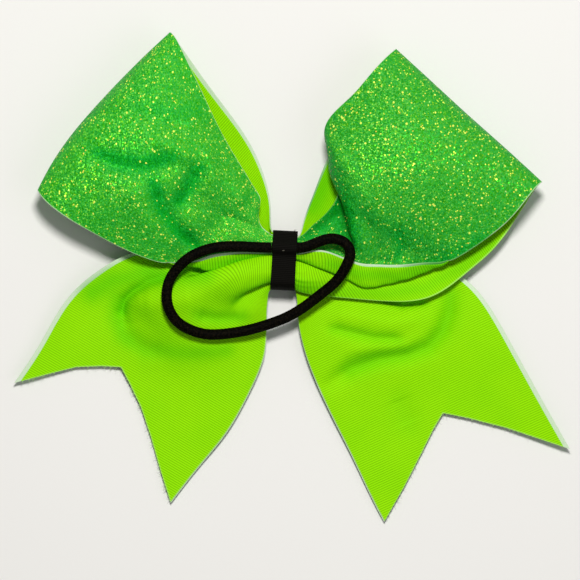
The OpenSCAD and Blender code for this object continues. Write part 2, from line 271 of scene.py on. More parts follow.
def slab(name, g, lo, hi, u, v, cut, painted_shade, mats, faces_up=0, side_mat=0, down_mat=0):
    """Closed sheet solid of a grid g, between lo and hi mm along its face direction, with round selvages.
    u, v are the cloth place of each grid point in mm, and cut its distance from a cut end."""
    m, n = g.shape[:2]
    nrm = faces_of(g)
    r = (hi - lo) / 2
    mid = (hi + lo) / 2
    side = []
    for j, o in ((0, 1), (n - 1, n - 2)):
        out = g[:, j] - g[:, o]
        out -= nrm[:, j] * np.sum(out * nrm[:, j], 1, keepdims=True)
        out /= np.linalg.norm(out, axis=1, keepdims=True)
        side.append(out)
    angles = np.radians([55, 18, -18, -55])
    loops = []
    cuvs = []
    for j in range(n):
        loops.append(g[:, j] + hi * nrm[:, j])
        cuvs.append((u[:, j], v[:, j]))
    for a in angles:
        loops.append(g[:, -1] + nrm[:, -1] * (mid + r * math.sin(a)) + side[1] * (r * math.cos(a)))
        cuvs.append((u[:, -1], v[:, -1] + r * math.cos(a)))
    for j in range(n - 1, -1, -1):
        loops.append(g[:, j] + lo * nrm[:, j])
        cuvs.append((u[:, j], v[:, j]))
    for a in angles[::-1]:
        loops.append(g[:, 0] + nrm[:, 0] * (mid + r * math.sin(a)) + side[0] * (r * math.cos(a)))
        cuvs.append((u[:, 0], v[:, 0] - r * math.cos(a)))
    ring = np.stack(loops, 1)
    loop = ring.shape[1]
    verts = ring.reshape(-1, 3)
    uv = np.stack([np.stack([c[0] for c in cuvs], 1), np.stack([c[1] for c in cuvs], 1)], -1).reshape(-1, 2) / 100
    order = list(range(n)) + [n - 1] * 4 + list(range(n - 1, -1, -1)) + [0] * 4
    cuts = cut[:, order].reshape(-1)
    # painted shade of each point, stored as a mesh attribute that the looks paint a deeper green
    hollows = painted_shade[:, order].reshape(-1)
    faces = ring_faces(m, loop)
    kinds = np.zeros(loop, int)
    kinds[: n - 1] = faces_up
    kinds[n - 1 : n + 4] = side_mat
    kinds[n + 4 : 2 * n + 3] = down_mat
    kinds[2 * n + 3 :] = side_mat
    which = np.tile(kinds, m - 1)
    # end caps: quads between the two faces, and the round selvages as one face each
    caps = []
    for i, flip in ((0, False), (m - 1, True)):
        base = i * loop
        for j in range(n - 1):
            f = [base + j, base + j + 1, base + 2 * n + 3 - j - 1, base + 2 * n + 3 - j]
            caps.append(f[::-1] if flip else f)
        f = [base + k for k in range(n - 1, n + 5)]
        caps.append(f[::-1] if flip else f)
        f = [base + k for k in range(2 * n + 3, loop)] + [base]
        caps.append(f[::-1] if flip else f)
    co = verts
    f = faces
    allf = [list(x) for x in faces] + caps
    which = np.concatenate([which, np.full(len(caps), side_mat)])
    # all faces turn out: compare one face of the upper side with its direction
    a, b, c = co[f[n // 2][0]], co[f[n // 2][1]], co[f[n // 2][2]]
    up = np.dot(np.cross(b - a, c - a), nrm[0, n // 2])
    if up < 0:
        allf = [x[::-1] for x in allf]
    rim = set(range(loop)) | set(range((m - 1) * loop, m * loop))
    return make_mesh(name, verts, allf, mats, which, uv, rim, {"cut": cuts, "painted_shade": hollows})


# ---------------------------------------------------------------- material nodes
class Look:
    def __init__(self, name, color=(0.5, 0.5, 0.5), rough=0.5, **sockets):
        self.m = bpy.data.materials.new(name)
        self.m.use_nodes = True
        self.t = self.m.node_tree
        self.b = self.t.nodes["Principled BSDF"]
        self.b.inputs["Base Color"].default_value = (*color, 1)
        self.b.inputs["Roughness"].default_value = rough
        for k, v in sockets.items():
            self.b.inputs[k.replace("_", " ")].default_value = v
        self.m.diffuse_color = (*color, 1)

    def node(self, kind, **props):
        n = self.t.nodes.new(kind)
        for k, v in props.items():
            setattr(n, k, v)
        return n

    def put(self, socket, value):
        if isinstance(value, bpy.types.NodeSocket):
            self.t.links.new(value, socket)
        elif isinstance(value, (tuple, list)) and len(value) == 3 and socket.type == "RGBA":
            socket.default_value = (*value, 1)
        else:
            socket.default_value = value

    def math(self, op, a, b=None, c=None, clamp=False):
        n = self.node("ShaderNodeMath", operation=op, use_clamp=clamp)
        for s, v in zip(n.inputs, (a, b, c)):
            if v is not None:
                self.put(s, v)
        return n.outputs[0]

    def vmath(self, op, a, b=None, scale=None):
        n = self.node("ShaderNodeVectorMath", operation=op)
        self.put(n.inputs[0], a)
        if b is not None:
            self.put(n.inputs[1], b)
        if scale is not None:
            self.put(n.inputs["Scale"], scale)
        return n.outputs[0]

    def mix(self, f, a, b, blend="MIX"):
        n = self.node("ShaderNodeMix", data_type="RGBA", blend_type=blend)
        self.put(n.inputs["Factor"], f)
        self.put(n.inputs["A"], a)
        self.put(n.inputs["B"], b)
        return n.outputs["Result"]

    def ramp(self, f, stops, mode="LINEAR"):
        n = self.node("ShaderNodeValToRGB")
        n.color_ramp.interpolation = mode
        e = n.color_ramp.elements
        while len(e) < len(stops):
            e.new(0.5)
        for k, (p, c) in enumerate(stops):
            e[k].position = p
            e[k].color = (*c, 1)
        self.put(n.inputs[0], f)
        return n.outputs[0]

    def cloth(self):
        n = self.node("ShaderNodeUVMap", uv_map="cloth")
        s = self.node("ShaderNodeSeparateXYZ")
        self.put(s.inputs[0], n.outputs[0])
        return n.outputs[0], s.outputs[0], s.outputs[1]

    def place(self):
        return self.node("ShaderNodeTexCoord").outputs["Object"]

    def noise(self, vector, scale, detail=2.0, rough=0.5, dims="3D"):
        n = self.node("ShaderNodeTexNoise", noise_dimensions=dims)
        self.put(n.inputs["Vector"], vector)
        n.inputs["Scale"].default_value = scale
        n.inputs["Detail"].default_value = detail
        n.inputs["Roughness"].default_value = rough
        return n.outputs["Fac"]

    def bump(self, height, distance, strength=1.0, normal=None):
        n = self.node("ShaderNodeBump")
        self.put(n.inputs["Height"], height)
        n.inputs["Distance"].default_value = distance
        n.inputs["Strength"].default_value = strength
        if normal is not None:
            self.put(n.inputs["Normal"], normal)
        return n.outputs[0]

    def color(self, value):
        self.put(self.b.inputs["Base Color"], value)

    def normal(self, value):
        self.put(self.b.inputs["Normal"], value)


RIB = 0.857


def ribs(k, along, across, pitch=RIB, thread=0.27):
    """Height of grosgrain: round cords across the ribbon, and the fine threads that bind them."""
    phase = k.math("MULTIPLY", along, 100 / pitch)
    cord = k.math("ABSOLUTE", k.math("SINE", k.math("MULTIPLY", phase, math.pi)))
    crest = k.math("POWER", cord, 0.6)
    odd = k.math("MULTIPLY", k.math("FLOOR", phase), 0.5)
    warp = k.math("ABSOLUTE", k.math("SINE", k.math("MULTIPLY", k.math("ADD", k.math("MULTIPLY", across, 100 / thread), odd), math.pi)))
    return crest, warp


def grosgrain_look():
    k = Look("grosgrain_green", (0.25, 0.76, 0.002), 0.7, Specular_IOR_Level=0.025)
    uv, along, across = k.cloth()
    crest, warp = ribs(k, along, across)
    height = k.math("ADD", crest, k.math("MULTIPLY", warp, 0.22))
    big = k.noise(k.place(), 60, 3)
    tint = k.mix(big, (0.25, 0.78, 0.001), (0.34, 0.87, 0.0015))
    fine = k.noise(uv, 900, 1, dims="2D")
    tint = k.mix(k.math("MULTIPLY", fine, 0.25), tint, (0.42, 0.93, 0.003))
    # painted shade between the ribs: the grooves are coloured darker than the crests
    shade = k.math("ADD", k.math("MULTIPLY", crest, 0.5), 0.5)
    shade = k.math("MULTIPLY", shade, k.math("ADD", k.math("MULTIPLY", warp, 0.14), 0.88))
    comb = k.node("ShaderNodeCombineColor")
    for s in comb.inputs:
        k.put(s, shade)
    tint = k.mix(1.0, tint, comb.outputs[0], "MULTIPLY")
    # painted shade: the green is multiplied darker and less red where painted shade lies
    painted_shade_fac = k.node("ShaderNodeAttribute", attribute_name="painted_shade").outputs["Fac"]
    tint = k.mix(painted_shade_fac, tint, k.mix(1.0, tint, (0.36, 0.80, 1.0), "MULTIPLY"))
    # the selvage: a narrow paler woven edge, toned down under the painted shade
    edge = k.math("MINIMUM", across, k.math("SUBTRACT", WIDTH / 100, across))
    rim = k.math("SUBTRACT", 1.0, k.math("MULTIPLY", k.math("SUBTRACT", edge, 0.004), 260, clamp=True), clamp=True)
    rim = k.math("MULTIPLY", rim, k.math("SUBTRACT", 0.7, k.math("MULTIPLY", painted_shade_fac, 0.7)))
    tint = k.mix(rim, tint, (0.44, 0.85, 0.16))
    # heat-sealed cut ends are a little paler and duller
    cut = k.node("ShaderNodeAttribute", attribute_name="cut").outputs["Fac"]
    seal = k.math("SUBTRACT", 1.0, k.math("MULTIPLY", cut, 1.6), clamp=True)
    seal = k.math("MULTIPLY", seal, k.noise(uv, 500, 2, dims="2D"))
    tint = k.mix(seal, tint, (0.50, 0.78, 0.22))
    k.color(tint)
    k.put(k.b.inputs["Roughness"], k.math("ADD", k.math("MULTIPLY", fine, 0.16), 0.5))
    k.normal(k.bump(height, 0.00009, 0.9))
    return k.m


def glitter_look(name, seed, light):
    """Holographic glitter: a bed of fine green flakes, with sparse larger yellow, gold and pale ones, each tilted its
    own way; the bright flakes are partly their own colour and partly painted glints.
    """
    k = Look(name, (0.05, 0.44, 0.03), 0.35, Specular_IOR_Level=0.07)
    uv, along, across = k.cloth()
    moved = k.vmath("ADD", uv, (seed * 3.1, seed * 1.7, 0.0))

    def flakes(scale):
        n = k.node("ShaderNodeTexVoronoi", voronoi_dimensions="2D", feature="F1")
        k.put(n.inputs["Vector"], moved)
        n.inputs["Scale"].default_value = scale
        s = k.node("ShaderNodeSeparateColor")
        k.put(s.inputs[0], n.outputs["Color"])
        return n, s.outputs

    fine, f = flakes(245)
    big, g = flakes(150)
    wide, w = flakes(92)
    # light scales the flakes' green: a darker copy is painted shade
    d = light
    tint = k.ramp(
        f[0],
        [
            (0.0, (0.014 * d, 0.34 * d, 0.022)),
            (0.25, (0.026 * d, 0.40 * d, 0.026)),
            (0.55, (0.044 * d, 0.46 * d, 0.030)),
            (0.8, (0.075 * d, 0.52 * d, 0.034)),
            (0.93, (0.14 * d, 0.61 * d, 0.042)),
            (1.0, (0.33 * d, 0.78 * d, 0.06)),
        ],
    )
    # the bright flakes: partly their own yellow and gold, partly painted glints
    spark = k.ramp(g[1], [(0.0, (0.30, 0.86, 0.07)), (0.4, (0.60, 0.95, 0.09)), (0.75, (0.86, 0.94, 0.10)), (0.93, (0.94, 0.74, 0.08)), (1.0, (0.4, 1.0, 0.3))])
    core = k.math("LESS_THAN", big.outputs["Distance"], 0.42)
    crowd = k.noise(k.place(), 55, 3)
    painted_shade = k.node("ShaderNodeAttribute", attribute_name="painted_shade").outputs["Fac"]
    # the flakes differ in how blue they are; where painted shade lies, the flakes are painted a deeper, cooler green
    tint = k.mix(1.0, tint, k.mix(f[2], (1.0, 0.97, 0.10), (0.93, 1.02, 1.75)), "MULTIPLY")
    shade_tint = k.ramp(painted_shade, [(0.0, (1, 1, 1)), (0.75, (0.13, 0.88, 0.92)), (0.92, (0.05, 0.74, 0.55)), (1.0, (0.03, 0.58, 0.36))])
    tint = k.mix(1.0, tint, shade_tint, "MULTIPLY")
    # painted shade also thins out the bright flakes
    level = k.math("SUBTRACT", k.math("ADD", 1.02, k.math("MULTIPLY", painted_shade, 0.08)), k.math("MULTIPLY", crowd, 0.19))
    rare = k.math("MULTIPLY", k.math("GREATER_THAN", g[0], level), core)
    tint = k.mix(rare, tint, spark)
    # rare pale stars: painted glints
    star = k.math("MULTIPLY", k.math("GREATER_THAN", w[0], 0.976), k.math("LESS_THAN", wide.outputs["Distance"], 0.38))
    tint = k.mix(star, tint, (0.82, 0.97, 0.13))
    # narrow pale line where the carrier shows at the selvage, dimmed under the painted shade
    edge = k.math("MINIMUM", across, k.math("SUBTRACT", WIDTH / 100, across))
    wobble = k.math("MULTIPLY", k.noise(uv, 130, 2, dims="2D"), 0.0022)
    low = k.math("LESS_THAN", across, k.math("ADD", wobble, -0.0002))
    high = k.math("LESS_THAN", k.math("SUBTRACT", WIDTH / 100, across), k.math("ADD", wobble, 0.0036))
    rim = k.math("MAXIMUM", low, high)
    tint = k.mix(k.math("MULTIPLY", rim, k.math("MULTIPLY", k.math("SUBTRACT", 1.0, painted_shade), 0.75)), tint, (0.36, 0.74, 0.28))
    k.color(tint)
    metal = k.math("MULTIPLY", k.math("GREATER_THAN", f[1], 0.6), 0.32)
    k.put(k.b.inputs["Metallic"], k.math("MULTIPLY", metal, k.math("SUBTRACT", 1.0, k.math("MAXIMUM", rim, painted_shade))))
    k.put(k.b.inputs["Roughness"], k.math("ADD", k.math("MULTIPLY", f[2], 0.3), 0.3))
    # each flake leans its own way
    lean = k.vmath("SUBTRACT", fine.outputs["Color"], (0.5, 0.5, 0.5))
    lean = k.vmath("SCALE", lean, scale=0.6)
    geo = k.node("ShaderNodeNewGeometry").outputs["Normal"]
    k.normal(k.vmath("NORMALIZE", k.vmath("ADD", geo, lean)))
    return k.m


def carrier_look():
    k = Look("white_carrier", (0.66, 0.80, 0.60), 0.55)
    uv, along, across = k.cloth()
    n = k.noise(uv, 260, 3, dims="2D")
    painted_shade = k.node("ShaderNodeAttribute", attribute_name="painted_shade").outputs["Fac"]
    # painted shade: the carrier is painted a dark green where painted shade lies
    k.color(k.mix(k.math("MULTIPLY", painted_shade, 1.1, clamp=True), k.mix(n, (0.42, 0.62, 0.34), (0.70, 0.80, 0.64)), (0.05, 0.36, 0.03)))
    k.normal(k.bump(k.noise(uv, 900, 2, dims="2D"), 0.00005, 0.6))
    return k.m


def band_look():
    k = Look("black_grosgrain", (0.002, 0.002, 0.0015), 0.6, Specular_IOR_Level=0.015)
    uv, along, across = k.cloth()
    crest, warp = ribs(k, along, across, 0.72, 0.24)
    # painted highlight: the rib crests are coloured lighter than the grooves
    k.color(k.mix(k.math("MULTIPLY", crest, k.noise(uv, 700, 2, dims="2D")), (0.0002, 0.0002, 0.0001), (0.013, 0.012, 0.010)))
    k.put(k.b.inputs["Roughness"], k.math("ADD", k.math("MULTIPLY", k.noise(uv, 300, 2, dims="2D"), 0.2), 0.45))
    k.normal(k.bump(k.math("ADD", crest, k.math("MULTIPLY", warp, 0.3)), 0.00008, 0.9))
    return k.m


def elastic_look():
    k = Look("black_braid", (0.003, 0.003, 0.002), 0.75, Specular_IOR_Level=0.035)
    p = k.place()
    n = k.noise(p, 1500, 3)
    grain = k.math("MULTIPLY", k.math("SUBTRACT", n, 0.45), 3.2, clamp=True)
    k.color(k.mix(grain, (0.0003, 0.0002, 0.0001), (0.010, 0.007, 0.003)))
    k.put(k.b.inputs["Roughness"], k.math("ADD", k.math("MULTIPLY", n, 0.25), 0.55))
    k.normal(k.bump(k.noise(p, 4200, 1), 0.00005, 0.7))
    return k.m


def plastic_look():
    k = Look("tie_nylon", (0.78, 0.78, 0.75), 0.4)
    p = k.place()
    k.color(k.mix(k.noise(p, 300, 2), (0.72, 0.72, 0.68), (0.82, 0.82, 0.80)))
    k.normal(k.bump(k.noise(p, 1800, 2), 0.00003, 0.5))
    return k.m


def glue_look():
    k = Look("hot_glue", (0.80, 0.78, 0.68), 0.2, Coat_Weight=0.3)
    p = k.place()
    k.color(k.mix(k.noise(p, 500, 2), (0.72, 0.70, 0.58), (0.86, 0.85, 0.78)))
    k.normal(k.bump(k.noise(p, 420, 2), 0.0002, 0.6))
    return k.m


def plain_green_look(name, low, high, scale):
    """For the gathered passes inside the band, which have no cloth map."""
    k = Look(name, high, 0.6)
    p = k.place()
    s = k.node("ShaderNodeSeparateXYZ")
    k.put(s.inputs[0], p)
    rib = k.math("ABSOLUTE", k.math("SINE", k.math("MULTIPLY", s.outputs[0], math.pi / (RIB * MM))))
    # painted shade between the ribs: the grooves take the darker green
    k.color(k.mix(k.math("MULTIPLY", rib, k.math("ADD", k.noise(p, scale, 2), 0.4)), low, high))
    k.normal(k.bump(rib, 0.00009, 0.8))
    return k.m


GROSGRAIN = grosgrain_look()
GLITTER_LEFT = glitter_look("glitter_left", 1.0, 1.0)
# the right loop and tail get the same glitter painted a tenth darker: painted shade
GLITTER_RIGHT = glitter_look("glitter_right", 2.0, 0.9)
CARRIER = carrier_look()
BAND = band_look()
ELASTIC = elastic_look()
PLASTIC = plastic_look()
GLUE = glue_look()
DULL_GLUE = Look("thin_glue", (0.10, 0.09, 0.07), 0.5, Specular_IOR_Level=0.25).m
FRAY = Look("loose_threads", (0.52, 0.80, 0.30), 0.7, Specular_IOR_Level=0.1).m
FUZZ = Look("black_fuzz", (0.012, 0.009, 0.006), 0.8, Specular_IOR_Level=0.05).m
PASS_GREEN = plain_green_look("pass_green", (0.10, 0.40, 0.002), (0.27, 0.74, 0.005), 900)
PASS_GLITTER = plain_green_look("pass_glitter", (0.02, 0.28, 0.03), (0.20, 0.62, 0.08), 2400)

# ---------------------------------------------------------------- the hair elastic
def fibres(name, starts, ways, sizes, radius, mat, seed):
    """Short loose fibres: thin closed three-sided threads that bend a little and taper to their ends."""
    rng = np.random.default_rng(seed)
    verts, faces = [], []
    for p, d, size in zip(starts, ways, sizes):
        a = np.cross(d, [0.3, 0.2, 1.0])
        a /= np.linalg.norm(a)
        b = np.cross(d, a)
        bend = (a * rng.normal() + b * rng.normal()) * 0.25
        base = len(verts)
        for k, t in enumerate((0, 0.3, 0.6, 0.85, 1.0)):
            c = p + size * (d * t + bend * t * t)
            r = radius * (1.0, 1.0, 0.9, 0.7, 0.4)[k]
            for q in range(3):
                w = 2 * math.pi * q / 3
                verts.append(c + r * (a * math.cos(w) + b * math.sin(w)))
        for k in range(4):
            for q in range(3):
                i, j = base + 3 * k + q, base + 3 * k + (q + 1) % 3
                faces.append([i, j, j + 3, i + 3])
        faces.append([base + 2, base + 1, base])
        faces.append([base + 12, base + 13, base + 14])
    verts = np.array(verts)
    f = faces[0]
    out = np.cross(verts[f[1]] - verts[f[0]], verts[f[3]] - verts[f[0]])
    mid = (verts[0] + verts[1] + verts[2]) / 3
    if np.dot(out, verts[f[0]] + verts[f[1]] - 2 * mid) < 0:
        faces = [x[::-1] for x in faces]
    return make_mesh(name, verts, faces, [mat], None, np.zeros((len(verts), 2)))


ROUTE = [
    [271.6, 247.5, 15], [262, 247.5, 15], [250, 247, 15.2], [236, 246.5, 15.8], [220, 247, 16.4], [203, 251, 16.8],
    [189, 258, 16.8], [178, 268, 16.4], [170, 280, 16], [167, 294, 15.9], [169, 308, 15.4], [177, 321, 14.3],
    [189, 329, 13.1], [206, 334, 12.0], [227, 333.5, 11.2], [248, 330, 10.8], [269, 324, 10.6], [287, 317, 10.9],
    [304, 307, 11.8], [321, 294, 13], [337, 280, 14.4], [346, 266, 15.6], [350, 254, 16.2], [346, 244, 16.2],
    [335, 239, 15.8], [324, 240, 15.4], [311, 245, 15.1], [303, 247.5, 15], [296.4, 247.5, 15]]


def frames_along(c):
    t = np.gradient(c, axis=0)
    t /= np.linalg.norm(t, axis=1, keepdims=True)
    a = np.zeros_like(c)
    s = np.array([0.0, 1.0, 0.0])
    for i in range(len(c)):
        s = s - t[i] * (s @ t[i])
        s /= np.linalg.norm(s)
        a[i] = s
    return t, a, np.cross(t, a)


def braided(name, route, radius, sides, step, mats):
    """Round braided cord: two families of strands that cross over and under each other."""
    c, length = smooth_curve(at(np.array(route, float)), 10, 3000)
    m = int(length / step)
    c, length = smooth_curve(at(np.array(route, float)), m, 6000)
    t, a, b = frames_along(c)
    s = np.linspace(0, length, m)[:, None]
    ang = np.linspace(0, 2 * math.pi, sides, endpoint=False)[None, :]
    turn = 2 * math.pi / 11.5
    right = 8 * (ang + turn * s)
    left = 8 * (ang - turn * s)
    over = 0.5 + 0.5 * np.sin(right / 2) * np.sin(left / 2)
    strand = np.maximum((np.abs(np.cos(right / 2)) ** 0.7) * (0.55 + 0.45 * over), (np.abs(np.cos(left / 2)) ** 0.7) * (1 - 0.45 * over))
    rr = radius - 0.19 + 0.27 * strand
    joint = np.exp(-(((s - 12.5) / 3.2) ** 4))  # the glued joint is smoother and a little thicker
    rr = rr * (1 - joint) + (radius + 0.06 + 0.03 * np.sin(3 * ang + 1.3 * s)) * joint
    pts = c[:, None, :] + rr[..., None] * (np.cos(ang)[..., None] * a[:, None, :] + np.sin(ang)[..., None] * b[:, None, :])
    faces = [list(f) for f in ring_faces(m, sides)]
    faces = [f[::-1] for f in faces]
    faces += [list(range(sides - 1, -1, -1)), [(m - 1) * sides + k for k in range(sides)]]
    uv = np.stack([np.repeat(s, sides, 1), np.repeat(ang * radius, m, 0)], -1).reshape(-1, 2) / 100
    ob = make_mesh(name, pts.reshape(-1, 3), faces, mats, None, uv)
    return ob, c, length


cord, cord_path, cord_length = braided("elastic_cord_loop", ROUTE, 2.0, 64, 0.26, [ELASTIC])
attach(cord, "elastic")
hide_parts("hair_elastic")

rng = np.random.default_rng(5)
cord_t, cord_a, cord_b = frames_along(cord_path)
starts, ways, sizes = [], [], []
for _ in range(420):  # fuzz of the braid
    i = int(rng.random() * (len(cord_path) - 40)) + 20
    w = rng.random() * 2 * math.pi
    n = cord_a[i] * math.cos(w) + cord_b[i] * math.sin(w)
    d = n * 0.55 + cord_t[i] * rng.normal() * 0.7 + np.cross(n, cord_t[i]) * rng.normal() * 0.5
    starts.append(cord_path[i] + n * 1.86)
    ways.append(d / np.linalg.norm(d))
    sizes.append(0.35 + rng.random() ** 2 * 0.8)
fuzz = fibres("elastic_fuzz", starts, ways, sizes, 0.04, FUZZ, 6)
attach(fuzz, "elastic")

# ---------------------------------------------------------------- ribbon rows
# Each row runs across the ribbon from selvage to selvage: [across, down, height]
RIGHT_LOOP = [
    [[293, 239, 5.6], [293, 250, 7], [293, 262, 9], [293, 273, 10.4], [293, 282, 9.6], [293, 285, 7.8]],
    [[299, 236, 5.5], [300, 247, 6], [300, 257, 8], [300, 266, 10], [300, 277, 11], [299, 286, 9.5], [299, 291, 7.5]],
    [[304, 221, 5.8], [311, 238, 5], [318, 256, 6.5], [324, 270, 8.4], [331, 284, 8.8], [338, 297, 7.4]],
    [[313, 196, 6.2], [325, 222, 4.4], [341, 250, 5], [357, 272, 7], [370, 288, 7.8], [382, 301, 7.6]],
    [[325, 165, 7], [345, 195, 4.4], [372, 232, 4], [402, 268, 6.2], [428, 298, 8.4]],
    [[345, 126, 8], [372, 160, 4.2], [405, 198, 2.8], [440, 236, 4.2], [468, 272, 8.2]],
    [[369, 88, 9.5], [400, 118, 5], [437, 157, 3], [472, 197, 4.6], [503, 238, 9]],
    [[389, 56, 11.5], [425, 88, 7.5], [462, 122, 6.2], [500, 157, 7.2], [534, 191, 10.5]],
    [[395, 50, 15], [431, 83, 13.6], [468, 117, 13], [505, 150, 13.4], [541, 183, 14]],
    [[389, 55, 18.5], [425, 87, 20.5], [462, 121, 21.5], [500, 155, 20], [534, 189, 17.5]],
    [[371, 74, 20], [400, 104, 25], [437, 141, 26.5], [476, 179, 22.5], [514, 214, 17]],
    [[349, 99, 19.5], [377, 128, 26], [411, 162, 27.5], [450, 199, 22.5], [488, 237, 15.5]],
    [[325, 131, 15.5], [331, 139, 20], [352, 158, 25], [385, 190, 25.5], [425, 226, 19.5], [456, 258, 13.5]],
    [[331, 158, 13], [328, 150, 16.5], [336, 160, 22.5], [352, 176, 25], [377, 198, 24.5], [409, 230, 18.6], [432, 252, 13.4], [443, 265.5, 11.2, 0.965], [441, 262.3, 13]],
    [[338, 184, 11.5], [331, 174, 13], [331, 169, 17.5, 0.19], [343, 178, 22.5], [365, 200, 24], [392, 231, 18], [412, 252, 12.6], [428, 271, 10.2, 0.93], [424, 263, 13]],
    [[336, 199, 10], [340, 192, 10], [335, 186, 15, 0.23], [345, 194, 20.5], [364, 211, 21.5], [387, 236, 16], [402, 256, 12], [411, 278, 10, 0.905], [409, 264.4, 13.2]],
    [[327, 212, 8.6], [345, 211, 7.6], [352, 212, 9], [345, 210, 13.5, 0.30], [350, 213, 18], [364, 222, 18.5], [382, 242, 14.5], [390, 260, 11.6], [393, 283, 9.6, 0.875], [392, 275, 11.8], [389, 265, 13.4]],
    [[319, 220, 8.4], [338, 222, 7.4], [349, 226, 8.2], [349, 228, 12, 0.38], [354, 234, 15], [367, 242, 15], [377, 254, 12], [379, 286, 9.6, 0.85], [377, 276, 11.6], [374, 264.4, 13]],
    [[312, 226, 8.4], [330, 233, 7.6], [345, 240, 8], [354, 246, 9], [354, 250, 11.4, 0.46], [358, 256, 12], [363, 265, 11], [364, 287, 9.8, 0.82], [361, 277, 11.8], [359, 263, 12.6]],
    [[303, 235, 9], [311, 241, 8.4], [322, 246, 8.4], [331, 252, 9.4], [335, 273.5, 10.2, 0.78], [336, 264, 11.6], [333, 253.5, 12.4]],
    [[300, 236.5, 9.6], [308, 244, 9.2], [315, 252, 9.4], [318, 267, 10.4, 0.76], [317.5, 259, 12], [316, 250.5, 12.8]],
    [[298, 238, 10.4], [299, 246, 10.4], [299, 252, 10.4], [299, 259.5, 10.6, 0.77], [299, 257, 12], [298, 254.5, 12.6]],
    [[293, 239, 10.8], [293, 246, 10.8], [293, 252, 10.8], [293, 258, 10.8, 0.77], [293, 256.5, 12.0], [293, 254.5, 12.6]],
]
LEFT_LOOP = [
    [[275, 233, 5], [275, 246, 3.4], [275, 262, 2.6], [275, 278, 2.8]],
    [[271, 229, 4.6], [268, 245, 3.1], [266, 262, 2.4], [264, 280, 2.8]],
    [[270, 205, 5], [256, 228, 3.2], [244, 248, 2.2], [230, 272, 2.4]],
    [[262, 171, 6], [238, 199, 3.4], [215, 229, 2], [190, 266, 2.2]],
    [[247, 139, 7], [217, 171, 3.6], [183, 211, 2], [152, 258, 3]],
    [[223, 105, 8.5], [188, 143, 4.2], [150, 189, 2.4], [112, 244, 4.5]],
    [[200, 74, 10.5], [160, 113, 5.4], [118, 162, 3.4], [76, 222, 7]],
    [[178, 43, 12.5], [140, 79, 8.4], [99, 121, 7.2], [68, 160, 8.4], [45, 199, 11]],
    [[171, 34, 15.5], [145, 58, 14.2], [117, 86, 13.6], [75, 133, 13.6], [51, 168, 14.6], [39, 191, 15.2]],
    [[175, 37, 19], [150, 62, 21], [122, 92, 22], [82, 138, 22], [60, 172, 20.5], [45, 200, 18.8]],
    [[185, 57, 20.5], [158, 86, 25], [125, 126, 27], [96, 168, 25.5], [68, 218, 20]],
    [[202, 93, 20], [177, 119, 26], [148, 156, 28], [120, 196, 25.5], [96, 234, 18.5]],
    [[220, 131, 18], [199, 151, 24], [175, 179, 24.5], [150, 212, 22.5], [127, 250, 16]],
    [[239, 164, 16], [221, 181, 20], [200, 199, 18.5], [181, 224, 18], [160, 262, 13.5]],
    [[247, 177, 15], [231, 190, 18.4], [212, 206, 16.8], [195, 227, 16], [180, 250, 13], [177, 264.5, 12.0, 0.965], [175.5, 263, 13.2]],
    [[253, 187, 14], [241, 199, 16.5], [224, 213, 15], [208, 231, 13.6], [198, 250, 12.2], [193, 267, 11.2, 0.93], [192.3, 264, 12.4, 0.95], [191, 262.3, 13]],
    [[257, 193, 13.4], [243, 205, 15.2], [229, 219.5, 13.8], [215, 236, 13], [207, 252, 11.8], [203.5, 270, 10.4, 0.89], [203, 264, 12.2], [201.5, 258.8, 13.1]],
    [[260, 199, 13], [247, 211, 14], [234, 226, 13.4], [224, 240, 12.6], [217, 254, 11.4], [214, 271.5, 9.6, 0.86], [213, 264, 11.8], [212, 255, 13.1]],
    [[258, 213, 12], [253, 221, 12.8], [246, 234, 12.4], [241, 247, 11.4], [239, 263.5, 9.0, 0.84], [238, 258.5, 11.6], [237, 252.4, 13]],
    [[261, 226, 11.6], [258, 236, 12], [256, 246, 11.2], [255, 261, 9.0, 0.82], [255, 257, 11.4], [255, 252.6, 12.8]],
    [[271, 234.5, 11], [270, 243, 11], [270, 250, 10.6], [270, 259, 9.2, 0.81], [270, 256, 11.2], [270, 253.5, 12.4]],
    [[275, 236, 11], [275, 243, 11], [275, 249, 10.8], [275, 257, 9.6, 0.81], [275, 255.5, 11.4], [275, 254, 12.4]],
]
